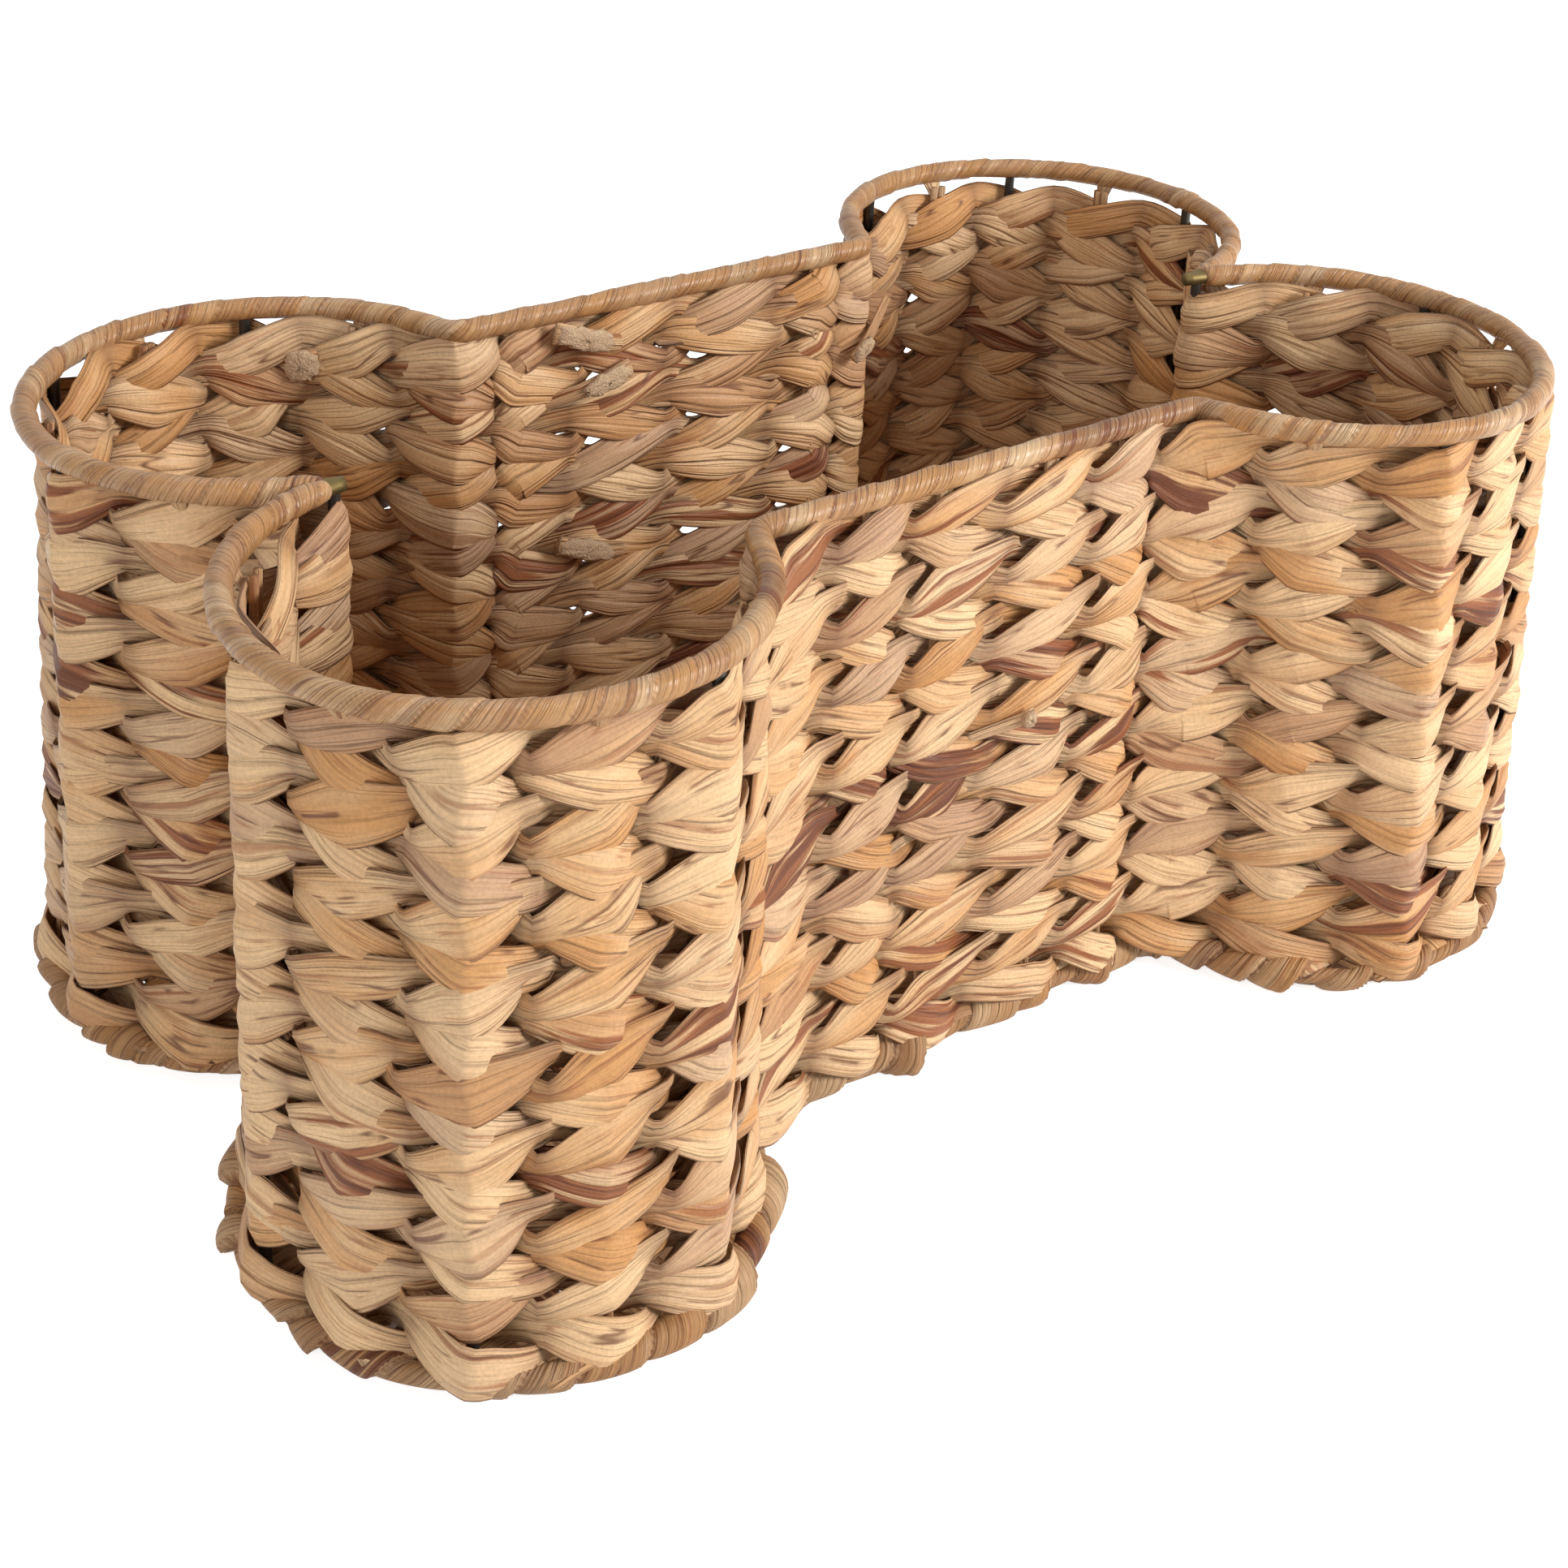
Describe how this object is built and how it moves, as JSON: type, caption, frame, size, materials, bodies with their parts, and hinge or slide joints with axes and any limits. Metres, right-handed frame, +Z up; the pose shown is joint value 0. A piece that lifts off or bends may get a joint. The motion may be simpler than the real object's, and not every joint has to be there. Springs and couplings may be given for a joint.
{
  "type": "bone-shaped basket",
  "caption": "Open storage basket in the outline of a bone, twined from flat plant-fibre strands over a welded wire frame with wrapped rims.",
  "frame": {"origin": "centre of the overall box, on the ground under the base rim", "axes": "+X along the length of the bone, +Y across it towards the back long side, +Z up"},
  "size_m": [0.5386, 0.3566, 0.23],
  "materials": {
    "rim_rod": "satin",
    "frame_wire": "satin",
    "rim_wrap": "satin",
    "base_wrap": "matt",
    "fibre_stake": "matt",
    "weave": "matt",
    "floor_weave": "matt"
  },
  "bodies": {
    "root": {"top_rim_rod": "rim_rod", "top_rim_wrap": "rim_wrap", "base_rim_rod": "frame_wire", "base_rim_wrap": "base_wrap", "floor_mat": "floor_weave", "floor_spine_rod": "frame_wire", "notch_post_left": "frame_wire", "lobe_stake_front_left_3": "fibre_stake", "lobe_post_front_left_3": "frame_wire", "lobe_stake_front_left_2": "fibre_stake", "lobe_post_front_left_2": "frame_wire", "lobe_stake_front_left_1": "fibre_stake", "lobe_post_front_left_1": "frame_wire", "valley_post_front_left": "frame_wire", "side_stake_front_1": "fibre_stake", "side_stake_front_2": "fibre_stake", "side_stake_front_3": "fibre_stake", "side_stake_front_4": "fibre_stake", "valley_post_front_right": "frame_wire", "lobe_post_front_right_1": "frame_wire", "lobe_stake_front_right_1": "fibre_stake", "lobe_post_front_right_2": "frame_wire", "lobe_stake_front_right_2": "fibre_stake", "lobe_post_front_right_3": "frame_wire", "lobe_stake_front_right_3": "fibre_stake", "notch_post_right": "frame_wire", "lobe_stake_back_right_3": "fibre_stake", "lobe_post_back_right_3": "frame_wire", "lobe_stake_back_right_2": "fibre_stake", "lobe_post_back_right_2": "frame_wire", "lobe_stake_back_right_1": "fibre_stake", "lobe_post_back_right_1": "frame_wire", "valley_post_back_right": "frame_wire", "side_stake_back_4": "fibre_stake", "side_stake_back_3": "fibre_stake", "side_stake_back_2": "fibre_stake", "side_stake_back_1": "fibre_stake", "valley_post_back_left": "frame_wire", "lobe_post_back_left_1": "frame_wire", "lobe_stake_back_left_1": "fibre_stake", "lobe_post_back_left_2": "frame_wire", "lobe_stake_back_left_2": "fibre_stake", "lobe_post_back_left_3": "frame_wire", "lobe_stake_back_left_3": "fibre_stake", "weave_row_01": "weave", "weave_row_02": "weave", "weave_row_03": "weave", "weave_row_04": "weave", "weave_row_05": "weave", "weave_row_06": "weave", "weave_row_07": "weave", "weave_row_08": "weave", "weave_row_09": "weave", "weave_row_10": "weave", "weave_row_11": "weave", "weave_row_12": "weave", "weave_row_13": "weave", "weave_row_14": "weave", "weave_row_15": "weave", "weave_row_16": "weave"}
  },
  "joints": []
}
